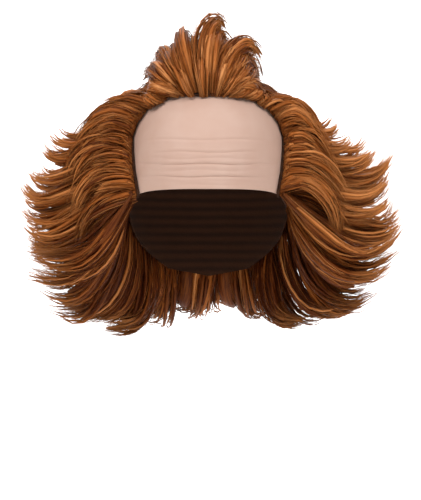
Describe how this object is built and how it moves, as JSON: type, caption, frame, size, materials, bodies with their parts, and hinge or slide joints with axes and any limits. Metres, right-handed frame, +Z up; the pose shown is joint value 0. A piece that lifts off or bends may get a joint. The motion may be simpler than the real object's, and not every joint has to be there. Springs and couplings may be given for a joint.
{
  "type": "bald costume wig",
  "caption": "Costume wig with a bald, creased latex forehead, a tall tuft above it and wide swept-out hair at the sides and back, on a hollow cap.",
  "frame": {"origin": "centre of the head opening, level with the brow, where the middle of the wearer's head goes", "axes": "+Z up to the crown, -Y to the front (the bald forehead), +X to the right as the wig is seen from the front"},
  "size_m": [0.3878, 0.2713, 0.3117],
  "materials": {
    "latex": "matt, skin-toned, powdery",
    "cap_net": "dark brown stretch net with sewn wefts",
    "hair": "ginger synthetic fibre, soft sheen"
  },
  "bodies": {
    "root": {"bald_front": "latex", "wig_cap": "cap_net", "hair_tuft": "hair", "hair_left": "hair", "hair_right": "hair", "hair_back": "hair"}
  },
  "joints": []
}
